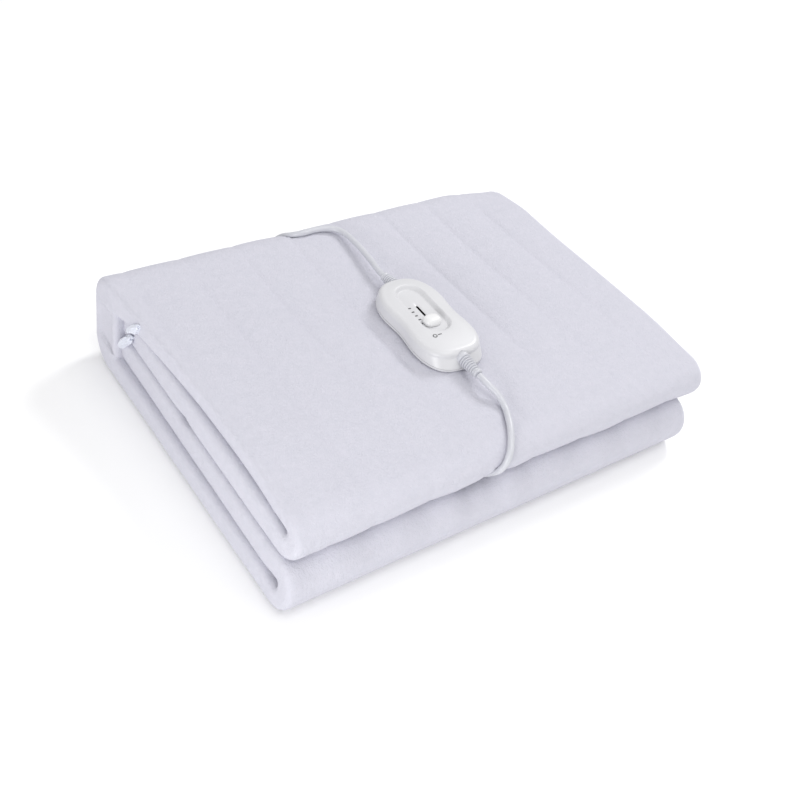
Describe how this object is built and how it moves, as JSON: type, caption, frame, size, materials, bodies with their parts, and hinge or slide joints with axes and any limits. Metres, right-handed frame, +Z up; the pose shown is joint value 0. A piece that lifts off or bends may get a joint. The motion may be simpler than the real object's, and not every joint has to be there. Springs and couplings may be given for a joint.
{
  "type": "electric heated blanket",
  "caption": "Folded white fleece heated blanket, closed like a book, with a slider control on top and its leads; the plug and coiled supply lead lie behind.",
  "frame": {"origin": "middle of the folded blanket's underside, on the surface it lies on", "axes": "+X to the right along the two rounded front folds, +Y from the front folds to the tall back fold, +Z up"},
  "size_m": [0.4124, 0.3937, 0.1021],
  "materials": {
    "white_fleece": "lofty fleece",
    "white_abs": "gloss",
    "white_pvc": "satin",
    "grey_tie": "matte",
    "nickel": "polished"
  },
  "bodies": {
    "blanket_and_control": {"blanket": "white_fleece", "control_base": "white_abs", "control_cover": "white_abs", "front_strain_relief": "white_pvc", "back_strain_relief": "white_pvc", "supply_lead": "white_pvc", "blanket_lead": "white_pvc", "plug_lead": "white_pvc", "lead_coil": "white_pvc", "coil_tie": "grey_tie", "plug_strain_relief": "white_pvc", "plug_body": "white_pvc", "plug_pin_left": "nickel", "plug_pin_right": "nickel"},
    "knob": {"slider_knob": "white_abs"}
  },
  "joints": [
    {"name": "knob_slide", "type": "slide", "parent": "blanket_and_control", "child": "knob", "axis": [0.0436, 0.999, 0], "range_m": [0, 0.0204]}
  ]
}
